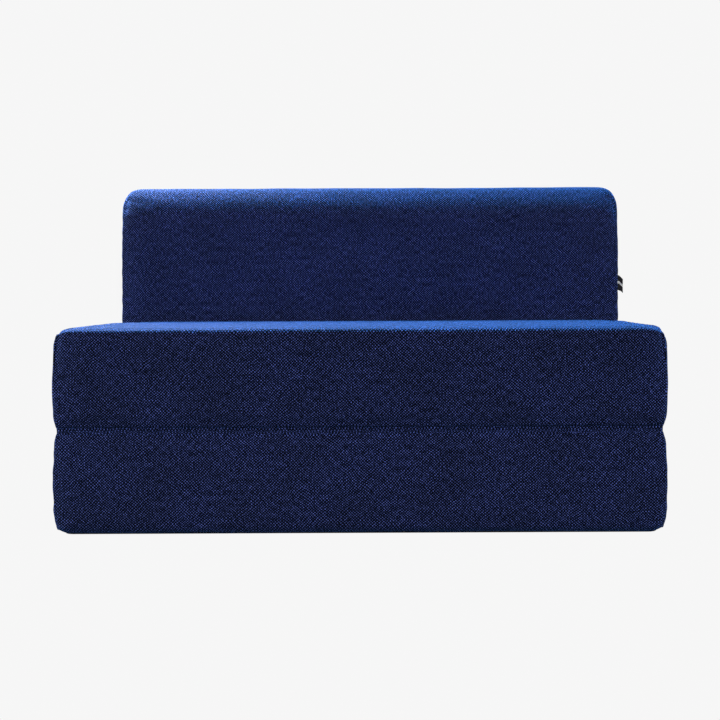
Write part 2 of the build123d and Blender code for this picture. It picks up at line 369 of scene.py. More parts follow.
class Outline:
    """The section's closed outline, with the same number of cells on opposite sides."""

    def __init__(self, section):
        sides = outline_sides(section)
        lengths = [side_length(side) for side in sides]
        self.across = len(graded((lengths[0] + lengths[2]) / 2)) - 1
        self.up = len(graded((lengths[1] + lengths[3]) / 2)) - 1
        counts = (self.across, self.up, self.across, self.up)
        parts = [resample(side, count) for side, count in zip(sides, counts)]
        self.points = np.concatenate([p[:-1] for p, _, _ in parts])
        self.normals = np.concatenate([n[:-1] for _, n, _ in parts])
        starts = np.concatenate(([0], np.cumsum(lengths)))
        self.runs = np.concatenate([d[:-1] + s for (_, _, d), s in zip(parts, starts)] + [starts[-1:]])
        self.size = len(self.points)
        self.by_corner = self.nearness(starts)
        self.by_top_corner = self.nearness(starts[2:4])
        self.by_bottom_corner = self.nearness(starts[[0, 1, 4]])

    def nearness(self, places):
        """How near each point is to one of these places on the outline: 1 there, 0 far off."""
        gaps = np.abs(self.runs[:-1, None] - places[None, :]).min(1)
        return np.exp(-((gaps / CORNER_REACH) ** 2))


def rim_drop(section, outline, gap):
    """How far the band rolls in at this distance from the end seam, most at its corners."""
    drops = section.rim_drop
    drop = drops["sides"] + (drops["top"] - drops["sides"]) * np.clip(outline.normals[:, 1], 0, 1) ** 2
    drop += (drops["top_corners"] - drop) * outline.by_top_corner
    drop += (drops["bottom_corners"] - drop) * outline.by_bottom_corner
    roll = np.clip(1 - gap / RIM_REACH, 0, 1) ** 3
    return roll * drop


def add_object(name, data):
    """A new object in the scene."""
    thing = bpy.data.objects.new(name, data)
    bpy.context.scene.collection.objects.link(thing)
    return thing


class CoverMesh:
    """A cover's quads: one band around the outline and an end panel on each end."""

    def __init__(self, section):
        self.section = section
        self.outline = Outline(section)
        self.verts, self.gaps, self.runs = [], [], []
        self.faces, self.coords = [], []
        self.add_band()
        self.seam_rings = [self.ring(0), self.ring(len(self.stations) - 1)]
        self.add_end(self.seam_rings[0], -1)
        self.add_end(self.seam_rings[1], 1)

    def ring(self, station):
        return np.arange(self.outline.size) + station * self.outline.size

    def add_band(self):
        outline = self.outline
        seam = self.section.end() - CORNER_SETBACK
        self.stations = graded(2 * seam) - seam
        for x in self.stations:
            gap = seam - abs(x)
            inset = rim_drop(self.section, outline, gap) + START_INSET * smooth(gap / RIM_REACH)
            yz = outline.points - outline.normals * np.reshape(inset, (-1, 1))
            reach = (CORNER_SETBACK - EDGE_SETBACK) * (1 - outline.by_corner)
            xs = x + np.sign(x) * reach * np.clip(1 - gap / SETBACK_REACH, 0, 1) ** 2
            self.verts += list(zip(xs, yz[:, 0], yz[:, 1]))
            self.gaps += [gap] * outline.size
            self.runs += list(outline.runs[:-1])
        for i in range(len(self.stations) - 1):
            self.add_band_row(i)

    def add_band_row(self, i):
        size, runs = self.outline.size, self.outline.runs
        for j in range(size):
            k = (j + 1) % size
            face = (i * size + j, i * size + k, (i + 1) * size + k, (i + 1) * size + j)
            self.faces.append(face)
            run = (runs[j], runs[j + 1], runs[j + 1], runs[j])
            self.coords += [(self.verts[v][0], along) for v, along in zip(face, run)]

    def end_sides(self, ring):
        """Vertex numbers of the end's bottom, rear, top and front edges, from the low front corner."""
        across, up = self.outline.across, self.outline.up
        closed = np.append(ring, ring[0])
        bottom = closed[: across + 1]
        rear = closed[across : across + up + 1]
        top = closed[across + up : 2 * across + up + 1][::-1]
        front = closed[2 * across + up :][::-1]
        return bottom, rear, top, front

    def add_end(self, ring, sign):
        sides = self.end_sides(ring)
        bottom, rear, top, front = [np.array([self.verts[v] for v in side]) for side in sides]
        us = (self.spread(bottom) + self.spread(top)) / 2
        vs = (self.spread(rear) + self.spread(front)) / 2
        width = np.linalg.norm(bottom[-1] - bottom[0])
        height = np.linalg.norm(rear[-1] - rear[0])
        across, up = self.outline.across, self.outline.up
        grid = np.zeros((across + 1, up + 1), int)
        grid[:, 0], grid[-1, :], grid[:, -1], grid[0, :] = sides
        for a in range(1, across):
            for b in range(1, up):
                u, v = us[a], vs[b]
                edges = (1 - v) * bottom[a] + v * top[a] + (1 - u) * front[b] + u * rear[b]
                nooks = (1 - u) * ((1 - v) * bottom[0] + v * top[0])
                nooks = nooks + u * ((1 - v) * bottom[-1] + v * top[-1])
                gaps = (min(u, 1 - u) * width, min(v, 1 - v) * height)
                grid[a, b] = len(self.verts)
                self.verts.append(self.raised(edges - nooks, sign, gaps))
                self.gaps.append(min(gaps))
                self.runs.append(u * width if gaps[1] < gaps[0] else v * height)
        self.add_end_faces(grid, sign)

    def raised(self, point, sign, gaps):
        """The end panel's point, brought out from its seams to a gently crowned face."""
        rise = math.prod(1 - (1 - min(gap / END_SHOULDER, 1)) ** 2 for gap in gaps)
        crown = END_CROWN * math.prod(float(smooth(gap / (2 * END_SHOULDER))) for gap in gaps)
        face = sign * (self.section.end() - START_INSET + crown)
        return (point[0] + (face - point[0]) * rise, point[1], point[2])

    def spread(self, points):
        run = np.concatenate(([0], np.cumsum(np.linalg.norm(np.diff(points, axis=0), axis=1))))
        return run / run[-1]

    def add_end_faces(self, grid, sign):
        for a in range(grid.shape[0] - 1):
            for b in range(grid.shape[1] - 1):
                face = (grid[a, b], grid[a + 1, b], grid[a + 1, b + 1], grid[a, b + 1])
                face = face if sign > 0 else face[::-1]
                self.faces.append(tuple(int(v) for v in face))
                self.coords += [self.verts[v][1:] for v in face]

    def build(self):
        mesh = bpy.data.meshes.new(f"{self.section.name}_cover")
        mesh.from_pydata(self.verts, [], [tuple(map(int, face)) for face in self.faces])
        weave = mesh.uv_layers.new(name="weave")
        weave.data.foreach_set("uv", np.array(self.coords, np.float32).ravel())
        for name, values in (("seam_gap", self.gaps), ("seam_run", self.runs)):
            attribute = mesh.attributes.new(name, "FLOAT", "POINT")
            attribute.data.foreach_set("value", np.array(values, np.float32))
        crease_seams(mesh, self.seam_rings)
        return add_object(mesh.name, mesh)


def crease_seams(mesh, rings):
    """Keeps the end seams crisp through the subdivision."""
    seam = np.zeros(len(mesh.vertices), bool)
    seam[np.concatenate(rings)] = True
    crease = mesh.attributes.new("crease_edge", "FLOAT", "EDGE")
    ends = np.zeros(2 * len(mesh.edges), int)
    mesh.edges.foreach_get("vertices", ends)
    crease.data.foreach_set("value", seam[ends.reshape(-1, 2)].all(1).astype(np.float32))


def read_points(mesh, kind="co"):
    """Every vertex's place, or its normal."""
    values = np.zeros(3 * len(mesh.vertices))
    mesh.vertices.foreach_get(kind, values)
    return values.reshape(-1, 3)


def write_points(mesh, points):
    mesh.vertices.foreach_set("co", points.astype(np.float32).ravel())
    mesh.update()


def read_attribute(mesh, name):
    values = np.zeros(len(mesh.vertices))
    mesh.attributes[name].data.foreach_get("value", values)
    return values


def face_value(normals, by_face):
    """A value per point, blended from the values of the faces by the direction it looks in."""
    share = normals**2
    up, back = normals[:, 2] > 0, normals[:, 1] > 0
    value = share[:, 2] * np.where(up, by_face["top"], by_face["bottom"])
    value += share[:, 1] * np.where(back, by_face["rear"], by_face["front"])
    return value + share[:, 0] * by_face["ends"]


def swell(cover, section, rings):
    """Inflates the cover with Cloth, its seams held, and caps how far each point moves."""
    start, normals = read_points(cover.data), read_points(cover.data, "normal")
    caps = face_value(normals, section.swell)
    moved = simulate(cover, rings)
    step = moved - start
    outward = (step * normals).sum(1)
    step += normals * (np.maximum(outward, -INWARD_LIMIT) - outward)[:, None]
    size = np.maximum(np.linalg.norm(step, axis=1), 1e-9)
    step *= (caps * np.tanh(size / caps) / size)[:, None]
    write_points(cover.data, start + step)


def simulate(cover, rings):
    """Runs the pressure simulation and gives where the points end."""
    seams = cover.vertex_groups.new(name="seams")
    seams.add([int(v) for v in np.concatenate(rings)], 1.0, "REPLACE")
    cloth = cover.modifiers.new("Cloth", "CLOTH")
    settings = cloth.settings
    for name, value in CLOTH_SETTINGS.items():
        setattr(settings, name, value)
    settings.vertex_group_mass = seams.name
    settings.effector_weights.gravity = 0
    cloth.collision_settings.use_collision = False
    for number in range(1, LAST_FRAME + 1):
        bpy.context.scene.frame_set(number)
    evaluated = cover.evaluated_get(bpy.context.evaluated_depsgraph_get())
    moved = read_points(evaluated.data)
    cover.modifiers.remove(cloth)
    cover.vertex_groups.remove(seams)
    bpy.context.scene.frame_set(1)
    return moved


def subdivide(cover):
    """Applies one level of subdivision, with the seams kept and the weave's map left straight."""
    modifier = cover.modifiers.new("Subdivision", "SUBSURF")
    modifier.levels = 1
    modifier.uv_smooth = "NONE"
    depsgraph = bpy.context.evaluated_depsgraph_get()
    mesh = bpy.data.meshes.new_from_object(cover.evaluated_get(depsgraph))
    cover.modifiers.remove(modifier)
    cover.data = mesh
    mesh.name = cover.name
    mesh.shade_smooth()


def wrinkle(cover, section):
    """Puckers the cloth along the end seams and lets the wide faces sway a little."""
    mesh = cover.data
    points, normals = read_points(mesh), read_points(mesh, "normal")
    gap, run = read_attribute(mesh, "seam_gap"), read_attribute(mesh, "seam_run")
    beside = np.stack([run, gap * PUCKER_SLANT], 1)
    puckers = waves(beside, PUCKER_LENGTHS, section.seed) * PUCKER_HEIGHT
    puckers *= np.exp(-((gap / PUCKER_REACH) ** 2)) * smooth(gap / PUCKER_START)
    sway = waves(points, SWAY_LENGTHS, section.seed + 1) * SWAY_HEIGHT
    height = (puckers + sway) * quiet(section, points)
    write_points(mesh, points + normals * height[:, None])


def quiet(section, points):
    """Less wrinkling near the zip, where the tape holds the cloth flat."""
    centre = section.zip_centre()
    across = 3 - section.zip_axis
    beside = np.abs(points[:, across] - centre[across])
    along = np.abs(points[:, section.zip_axis] - centre[section.zip_axis])
    near = 1 - smooth((beside - CALM_HALF) / CALM_FADE)
    near *= 1 - smooth((along - section.zip_half) / CALM_FADE_ALONG)
    return 1 - near * (points[:, 0] > section.end() - END_DEPTH)


def gather_crease(cover, section):
    """Draws the lips of the front crease in by uneven amounts, where the hinge cloth is sewn."""
    hinge_low, hinge_high = node_box("front_hinge_strip")
    middle = (hinge_low.z + hinge_high.z) / 2
    points = read_points(cover.data)
    reach, draw = section.crease
    depth = np.clip(1 - np.abs(points[:, 2] - middle) / reach, 0, 1)
    front = 1 - smooth((points[:, 1] - section.box()[0].y) / GATHER_DEPTH)
    ripple = waves(points[:, :1], GATHER_LENGTHS, section.seed + 5)
    points[:, 1] += depth**GATHER_POWER * front * (draw + GATHER_RIPPLE * ripple)
    write_points(cover.data, points)


def keep_in_room(cover, section):
    """Flattens the cover where it rests and keeps it clear of its neighbours."""
    low, high = section.box()
    room = section.room
    points = read_points(cover.data)
    points[:, 1] = np.clip(points[:, 1], low.y - room["front"], high.y + room["rear"])
    points[:, 2] = np.clip(points[:, 2], low.z - room["bottom"], high.z + room["top"])
    write_points(cover.data, points)


def keep_over_liner(cover, section):
    """Pushes out any cloth that would cut into the stuffed liner's rounded section."""
    low, high = node_box(f"{section.name}_liner_bag")
    points = read_points(cover.data)
    middle = np.array([(low.y + high.y) / 2, (low.z + high.z) / 2])
    half = np.array([(high.y - low.y) / 2, (high.z - low.z) / 2]) - LINER_RADIUS
    offset = points[:, 1:] - middle
    beyond = np.maximum(np.abs(offset) - half, 0)
    reach = np.linalg.norm(beyond, axis=1)
    cornered = reach > 0
    lacking = LINER_RADIUS + LINER_GAP - reach
    move = cornered & (lacking > 0) & (np.abs(points[:, 0]) < high.x)
    outward = beyond[move] / reach[move, None] * np.sign(offset[move])
    points[move, 1:] += outward * lacking[move, None]
    write_points(cover.data, points)


def hold_zip_flat(cover, section):
    """Brings the cloth beside the zip to the tape's height."""
    points = read_points(cover.data)
    held = 1 - quiet(section, points)
    points[:, 0] += held * (section.end() - ZIP_CLOTH_SINK - points[:, 0])
    write_points(cover.data, points)


def cut_slit(cover, section):
    """Opens the right end panel along the zip and turns the cut edges in as hems."""
    centre = section.zip_centre()
    along, across = section.zip_axis, 3 - section.zip_axis
    half = section.zip_half + SLIT_OVERRUN
    mesh = bmesh.new()
    mesh.from_mesh(cover.data)
    for axis, offset in ((across, -SLIT_HALF), (across, SLIT_HALF), (along, -half), (along, half)):
        faces = [f for f in mesh.faces if within_slit(f, section, centre, half, SLIT_SURROUND)]
        edges = list({e for f in faces for e in f.edges})
        verts = list({v for f in faces for v in f.verts})
        place = centre.copy()
        place[axis] += offset
        normal = [float(axis == k) for k in range(3)]
        bmesh.ops.bisect_plane(mesh, geom=verts + edges + faces, plane_co=place, plane_no=normal)
    inside = [f for f in mesh.faces if within_slit(f, section, centre, half)]
    bmesh.ops.delete(mesh, geom=inside, context="FACES")
    rim = [e for e in mesh.edges if e.is_boundary]
    turned = bmesh.ops.extrude_edge_only(mesh, edges=rim)["geom"]
    for vert in [g for g in turned if isinstance(g, bmesh.types.BMVert)]:
        vert.co.x -= SLIT_HEM_DEPTH
        outward = 1 if vert.co[across] > centre[across] else -1
        vert.co[across] += outward * SLIT_HEM_TURN
    mesh.to_mesh(cover.data)
    mesh.free()
    cover.data.shade_smooth()


def within_slit(face, section, centre, half, margin=0.0):
    """Whether a face lies in the slit, or no further from it than the margin."""
    middle = face.calc_center_median()
    along, across = section.zip_axis, 3 - section.zip_axis
    on_end = middle.x > section.end() - END_DEPTH
    beside = abs(middle[across] - centre[across]) < (margin or SLIT_HALF)
    return on_end and beside and abs(middle[along] - centre[along]) < half + margin


def drop_attributes(cover):
    for name in ("seam_gap", "seam_run"):
        cover.data.attributes.remove(cover.data.attributes[name])


def make_cover(section, cloth):
    """The section's cover, from grid to finished mesh."""
    plan = CoverMesh(section)
    cover = plan.build()
    swell(cover, section, plan.seam_rings)
    subdivide(cover)
    wrinkle(cover, section)
    if section.crease:
        gather_crease(cover, section)
        keep_over_liner(cover, section)
    keep_in_room(cover, section)
    hold_zip_flat(cover, section)
    drop_attributes(cover)
    cut_slit(cover, section)
    cover.data.materials.append(cloth)
    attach(cover, section.name)
    nodes = [f"{section.name}_{part}" for part in ("cover_band", "end_panel_left", "end_panel_right")]
    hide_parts(*nodes)


# ---------------- materials


class Graph:
    """Builds a material's nodes around one Principled shader."""

    def __init__(self, name, roughness, **constants):
        self.material = bpy.data.materials.new(name)
        self.material.use_nodes = True
        self.tree = self.material.node_tree
        self.shader = self.tree.nodes["Principled BSDF"]
        self.shader.inputs["Roughness"].default_value = roughness
        for socket, value in constants.items():
            self.shader.inputs[socket.replace("_", " ")].default_value = value

    def put(self, socket, value):
        if isinstance(value, bpy.types.NodeSocket):
            self.tree.links.new(value, socket)
        elif value is not None:
            socket.default_value = value

    def node(self, kind, inputs=(), output=0, **options):
        node = self.tree.nodes.new(kind)
        for name, value in options.items():
            setattr(node, name, value)
        for name, value in dict(inputs).items():
            self.put(node.inputs[name], value)
        return node.outputs[output]

    def math(self, operation, a, b=None):
        return self.node("ShaderNodeMath", {0: a, 1: b}, operation=operation)

    def mix(self, factor, a, b, blend="MIX"):
        inputs = {"Factor": factor, 6: a, 7: b}
        return self.node("ShaderNodeMix", inputs, output=2, data_type="RGBA", blend_type=blend)

    def noise(self, vector, scale, detail=2.0, roughness=0.5, output=0):
        """Noise as a value, or as a colour from output 1."""
        inputs = {"Vector": vector, "Scale": scale, "Detail": detail, "Roughness": roughness}
        return self.node("ShaderNodeTexNoise", inputs, output, noise_dimensions="3D")

    def stretch(self, vector, scale):
        return self.vector("MULTIPLY", vector, scale)

    def range(self, value, low, high, to_low=0.0, to_high=1.0):
        inputs = {0: value, 1: low, 2: high, 3: to_low, 4: to_high}
        return self.node("ShaderNodeMapRange", inputs, interpolation_type="SMOOTHSTEP")

    def weave_map(self):
        return self.node("ShaderNodeUVMap", uv_map="weave")

    def object_map(self):
        return self.node("ShaderNodeTexCoord", output=3)

    def vector(self, operation, a, b):
        return self.node("ShaderNodeVectorMath", {0: a, 1: b}, operation=operation)

    def split(self, vector):
        """The X, Y and Z of a vector."""
        node = self.tree.nodes.new("ShaderNodeSeparateXYZ")
        self.put(node.inputs[0], vector)
        return node.outputs

    def colour(self, value):
        self.put(self.shader.inputs["Base Color"], value)

    def rough(self, value):
        self.put(self.shader.inputs["Roughness"], value)

    def bump(self, height, distance, strength):
        inputs = {"Strength": strength, "Distance": distance, "Height": height}
        self.put(self.shader.inputs["Normal"], self.node("ShaderNodeBump", inputs))


def thread_wave(graph, position, repeat):
    """The cosine of a thread's place in its repeat."""
    return graph.math("COSINE", graph.math("MULTIPLY", position, 2 * math.pi / repeat))


def cover_cloth():
    """Two-tone basket weave: bright blue slub threads over near-black navy ones."""
    graph = Graph(
        "cover_cloth",
        0.85,
        Sheen_Weight=0.32,
        Sheen_Roughness=0.42,
        Sheen_Tint=(0.08, 0.3, 1.0, 1.0),
        Specular_IOR_Level=0.06,
    )
    place = graph.weave_map()
    drift = graph.vector("SUBTRACT", graph.noise(place, DRIFT_SCALE, output=1), (0.5, 0.5, 0.5))
    drifted = graph.split(graph.vector("ADD", place, graph.stretch(drift, (DRIFT,) * 3)))
    across = thread_wave(graph, drifted[0], REPEAT_ACROSS)
    along = thread_wave(graph, drifted[1], REPEAT_ALONG)
    checker = graph.math("MULTIPLY", across, along)
    slub_up = graph.noise(graph.stretch(place, (330.0, 90.0, 1.0)), 1.0)
    slub_across = graph.noise(graph.stretch(place, (80.0, 350.0, 1.0)), 1.0)
    uneven = graph.math("MULTIPLY", graph.math("SUBTRACT", slub_up, 0.5), 0.9)
    over = graph.range(graph.math("ADD", checker, uneven), 0.1, 0.8)
    blotch = graph.range(graph.noise(place, 9.0, detail=3.0), 0.32, 0.68)
    warp = graph.mix(graph.range(slub_up, 0.3, 0.7), *WARP_COLOURS)
    weft = graph.mix(graph.range(slub_across, 0.35, 0.7), *WEFT_COLOURS)
    cloth = graph.mix(over, weft, warp)
    shade = graph.mix(blotch, *SHADE_COLOURS)
    graph.colour(graph.mix(1.0, cloth, shade, blend="MULTIPLY"))
    fibre = graph.noise(place, 1400.0, detail=1.0)
    crown = graph.math("ABSOLUTE", checker)
    height = graph.math("ADD", graph.math("MULTIPLY", crown, 0.6), graph.math("MULTIPLY", over, 0.3))
    height = graph.math("ADD", height, graph.math("MULTIPLY", fibre, 0.12))
    graph.bump(height, WEAVE_RELIEF, 0.9)
    graph.rough(graph.range(over, 0.0, 1.0, 0.9, 0.75))
    return graph.material


def plain_cloth(name, dark, light, scale, rise):
    """A fine cloth with crossed threads and a mottled colour, mapped by its own place."""
    graph = Graph(name, 0.85)
    place = graph.object_map()
    x, y, z = graph.split(place)
    run = graph.math("ADD", y, z)
    threads = graph.math("MULTIPLY", thread_wave(graph, x, scale), thread_wave(graph, run, scale))
    mottle = graph.noise(place, 40.0, detail=4.0)
    tone = graph.math("ADD", graph.math("MULTIPLY", threads, 0.25), mottle)
    graph.colour(graph.mix(graph.range(tone, 0.2, 0.8), (*dark, 1), (*light, 1)))
    graph.bump(graph.math("ADD", threads, mottle), rise, 0.6)
    return graph.material


def foam_material():
    """Open-cell foam: pale cream with small round pores."""
    graph = Graph("foam", 0.9)
    place = graph.object_map()
    cells = graph.node("ShaderNodeTexVoronoi", {"Vector": place, "Scale": 700.0})
    mottle = graph.noise(place, 12.0, detail=3.0)
    graph.colour(graph.mix(graph.range(mottle, 0.3, 0.7), (0.72, 0.66, 0.5, 1), (0.82, 0.77, 0.63, 1)))
    graph.bump(cells, 0.5 * MM, 0.5)
    return graph.material


def wadding_material():
    """Fluffy polyester fibre, white with long tangled strands."""
    graph = Graph("wadding", 0.95, Sheen_Weight=0.3)
    place = graph.object_map()
    strands = graph.noise(graph.stretch(place, (60.0, 420.0, 420.0)), 1.0, detail=5.0, roughness=0.7)
    graph.colour(graph.mix(graph.range(strands, 0.3, 0.7), (0.74, 0.75, 0.76, 1), (0.9, 0.9, 0.89, 1)))
    graph.bump(strands, 1.2 * MM, 0.7)
    return graph.material


def metal_material():
    """Dark nickel zip metal, with fine tumbling marks and rubbed spots."""
    graph = Graph("zip_metal", 0.35, Metallic=1.0)
    place = graph.object_map()
    marks = graph.noise(place, 900.0, detail=3.0)
    worn = graph.range(graph.noise(place, 160.0), 0.45, 0.65)
    graph.colour(graph.mix(worn, (0.10, 0.10, 0.11, 1), (0.32, 0.32, 0.33, 1)))
    graph.rough(graph.range(marks, 0.3, 0.7, 0.36, 0.52))
    graph.bump(marks, 0.05 * MM, 0.5)
    return graph.material


def coil_material():
    """Smooth navy nylon teeth, a little uneven in gloss."""
    graph = Graph("zip_coil", 0.5, Specular_IOR_Level=0.25)
    place = graph.object_map()
    streaks = graph.noise(graph.stretch(place, (900.0, 900.0, 900.0)), 1.0)
    graph.colour(graph.mix(streaks, (0.012, 0.018, 0.055, 1), (0.03, 0.04, 0.11, 1)))
    graph.rough(graph.range(streaks, 0.3, 0.7, 0.42, 0.6))
    graph.bump(streaks, 0.05 * MM, 0.4)
    return graph.material


def label_material():
    """Black satin label with a pale woven stripe along its middle."""
    graph = Graph("label", 0.6, Sheen_Weight=0.03, Specular_IOR_Level=0.2)
    place = graph.weave_map()
    height = graph.split(place)[1]
    low, high = node_box("side_label")
    middle = (low.z + high.z) / 2
    off = graph.math("ABSOLUTE", graph.math("SUBTRACT", height, middle))
    stripe = graph.range(off, *LABEL_STRIPE, 1.0, 0.0)
    ribs = thread_wave(graph, height, LABEL_RIB)
    fuzz = graph.noise(place, 900.0)
    black = graph.mix(fuzz, (0.002, 0.002, 0.003, 1), (0.012, 0.012, 0.015, 1))
    pale = graph.mix(fuzz, (0.5, 0.5, 0.48, 1), (0.75, 0.75, 0.72, 1))
    graph.colour(graph.mix(stripe, black, pale))
    graph.bump(graph.math("ADD", ribs, fuzz), 0.08 * MM, 0.6)
    return graph.material


def underside_and_contact_shadow_material():
    """Black non-slip cloth: a plain weave with rows of small raised dots. Where its rim meets the floor,
    its black is also painted contact shadow: a thin dark line along the foot of the base.
    """
    graph = Graph("underside_cloth", 0.8)
    place = graph.object_map()
    dots = graph.node("ShaderNodeTexVoronoi", {"Vector": place, "Scale": 110.0, "Randomness": 0.0})
    raised = graph.range(dots, 0.28, 0.42, 1.0, 0.0)
    fibre = graph.noise(place, 700.0, detail=3.0)
    # Black cloth, which also gives the painted contact shadow where its rim shows at the floor.
    graph.colour(graph.mix(raised, (0.014, 0.014, 0.016, 1), (0.035, 0.035, 0.038, 1)))
    graph.rough(graph.range(raised, 0.0, 1.0, 0.85, 0.45))
    graph.bump(graph.math("ADD", raised, graph.math("MULTIPLY", fibre, 0.3)), 0.5 * MM, 0.7)
    return graph.material


# ---------------- smaller pieces


def new_object(name, verts, faces, material):
    """A piece whose faces look outwards."""
    mesh = bpy.data.meshes.new(name)
    mesh.from_pydata([tuple(v) for v in verts], [], faces)
    mesh.materials.append(material)
    turned = bmesh.new()
    turned.from_mesh(mesh)
    bmesh.ops.recalc_face_normals(turned, faces=turned.faces)
    turned.to_mesh(mesh)
    turned.free()
    return add_object(name, mesh)


def add_rings(verts, faces, rings):
    """Adds a closed loft of rings to a growing list of points and faces."""
    first, count = len(verts), len(rings[0])
    verts.extend(v for ring in rings for v in ring)
    for i in range(len(rings) - 1):
        for j in range(count):
            k = (j + 1) % count
            a, b = first + i * count, first + (i + 1) * count
            faces.append((a + j, a + k, b + k, b + j))
    faces.append(tuple(range(first, first + count)))
    last = first + (len(rings) - 1) * count
    faces.append(tuple(range(last, last + count)))


def lofted(name, rings, material):
    """A closed skin over rings of points, with flat ends."""
    verts, faces = [], []
    add_rings(verts, faces, rings)
    faces[-2] = faces[-2][::-1]
    piece = new_object(name, verts, faces, material)
    piece.data.shade_smooth()
    return piece


def add_weave_map(piece, place):
    """A weave map in metres, with each corner at the place worked out from its point."""
    layer = piece.data.uv_layers.new(name="weave")
    for loop in piece.data.loops:
        layer.data[loop.index].uv = place(piece.data.vertices[loop.vertex_index].co)


def cloth_strip(name, middle_line, half_length, material, cloth):
    """A long strip whose (y, z) section follows middle_line; cloth is (thickness, waviness, seed)."""
    thickness, waviness, seed = cloth
    line = np.array(middle_line)
    tangent = np.gradient(line, axis=0)
    tangent /= np.linalg.norm(tangent, axis=1, keepdims=True)
    normal = np.stack([-tangent[:, 1], tangent[:, 0]], 1)
    ends = np.ones((len(line), 1))
    ends[0] = ends[-1] = 0.5
    half = normal * ends * thickness / 2
    loop = np.concatenate([line + half, (line - half)[::-1]])
    xs = np.linspace(-half_length, half_length, STATIONS)
    offsets = waves(xs[:, None], STRIP_LENGTHS, seed) * waviness
    rings = [[(x, y + push, z) for y, z in loop] for x, push in zip(xs, offsets)]
    return lofted(name, rings, material)


def front_hinge(material):
    """The hinge cloth in the front crease."""
    low, high = node_box("front_hinge_strip")
    middle = (low.z + high.z) / 2
    depth = low.y + STRIP_DEPTH
    line = []
    for height in np.linspace(-STRIP_HALF_HEIGHT, STRIP_HALF_HEIGHT, STRIP_ROWS):
        bow = STRIP_BOW * math.cos(height / STRIP_HALF_HEIGHT * math.pi / 2)
        line.append((depth + bow - STRIP_SETBACK, middle + height))
    half_length = high.x - STRIP_END_GAP
    piece = cloth_strip("front_hinge_cloth", line, half_length, material, STRIP_CLOTH)
    add_weave_map(piece, lambda co: (co.x, co.y + co.z + STRIP_SLACK * (co.z > middle)))
    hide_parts("front_hinge_strip")
    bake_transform(piece)


def around_section(co):
    """A place on a narrow strip's weave: along X and around its section."""
    return (co.x, co.y + co.z)


def rear_flap(material):
    """The flap behind the base, with a sewn foot on the base and a sewn head on the back."""
    low, high = node_box("rear_hinge_flap")
    middle = (low.y + high.y) / 2
    foot, head = low.z, high.z
    heights = np.linspace(foot + FLAP_END_GAP, head - FLAP_END_GAP, FLAP_ROWS)
    sag = [(middle + FLAP_SAG * math.sin(k * FLAP_SAG_TURN), z) for k, z in enumerate(heights)]
    flap = cloth_strip("rear_flap_cloth", sag, high.x, material, FLAP_CLOTH)
    add_weave_map(flap, around_section)
    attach(flap, "rear_flap")
    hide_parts("rear_hinge_flap")
    hem("rear_flap_foot", foot, middle, high.x, material)
    hem("rear_flap_head", head, middle, high.x, material)


def hem(name, height, middle, half_length, material):
    """A folded hem over one of the flap's hinge lines."""
    heights = np.linspace(height - HEM_HALF_HEIGHT, height + HEM_HALF_HEIGHT, HEM_ROWS)
    line = [(middle - HEM_SHIFT, z) for z in heights]
    piece = cloth_strip(name, line, half_length, material, HEM_CLOTH)
    add_weave_map(piece, around_section)
    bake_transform(piece)


def capsule(start, stop, radius):
    """Rings of a small thread stitch between two points."""
    start, stop = np.array(start), np.array(stop)
    along = (stop - start) / np.linalg.norm(stop - start)
    side = np.cross(along, (1.0, 0.0, 0.0))
    angles = np.linspace(0, 2 * math.pi, STITCH_CORNERS + 1)[:-1]
    turns = [(math.cos(a), math.sin(a)) for a in angles]
    rings = []
    for share, size, lift in STITCH_PROFILE:
        middle = start + (stop - start) * share + np.array((lift * radius, 0, 0))
        rings.append([middle + radius * size * (c * side + s * np.array((1.0, 0, 0))) for c, s in turns])
    return rings


def zip_stitches(section, material):
    """Two rows of stitches that hold the zip tape behind the end panel."""
    centre = section.zip_centre()
    along, across = section.zip_axis, 3 - section.zip_axis
    verts, faces = [], []
    count = int(2 * (section.zip_half + STITCH_OVERRUN) / STITCH_PITCH)
    for side in (-1, 1):
        for k in range(count):
            place = np.array((section.end() - STITCH_SINK, centre.y, centre.z))
            place[across] += side * STITCH_OFFSET
            place[along] += (k - (count - 1) / 2) * STITCH_PITCH
            reach = np.zeros(3)
            reach[along] = STITCH_LENGTH / 2
            add_rings(verts, faces, capsule(place - reach, place + reach, STITCH_RADIUS))
    piece = new_object(f"{section.name}_zip_stitches", verts, faces, material)
    piece.data.shade_smooth()
    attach(piece, section.name)


def zip_teeth(section, material):
    """Two rows of small rounded teeth, half a pitch apart, in place of the plain coil rows."""
    low, high = node_box(f"{section.name}_zip_coil")
    centre = section.zip_centre()
    along, across = section.zip_axis, 3 - section.zip_axis
    verts, faces = [], []
    count = int(2 * section.zip_half / TOOTH_PITCH) - 1
    for side in (-1, 1):
        for k in range(count):
            place = (k - (count - 1) / 2 + TOOTH_STAGGER * side) * TOOTH_PITCH
            rings = []
            for reach, size in TOOTH_PROFILE:
                ring = tooth_ring(low.x, high.x, size, (along, across), centre, place, side * reach)
                rings.append(ring)
            add_rings(verts, faces, rings)
    piece = new_object(f"{section.name}_zip_teeth", verts, faces, material)
    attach(piece, section.name)
    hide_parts(f"{section.name}_zip_coil")


def tooth_ring(low_x, high_x, size, axes, centre, place, reach):
    """One section of a tooth."""
    along, across = axes
    middle, half = (low_x + high_x) / 2, (high_x - low_x) / 2
    ring = []
    for dx, step in TOOTH_OUTLINE:
        point = [0.0, 0.0, 0.0]
        point[0] = middle + dx * half * size
        point[along] = centre[along] + place + step * TOOTH_LENGTH / 2 * size
        point[across] = centre[across] + reach
        ring.append(point)
    return ring


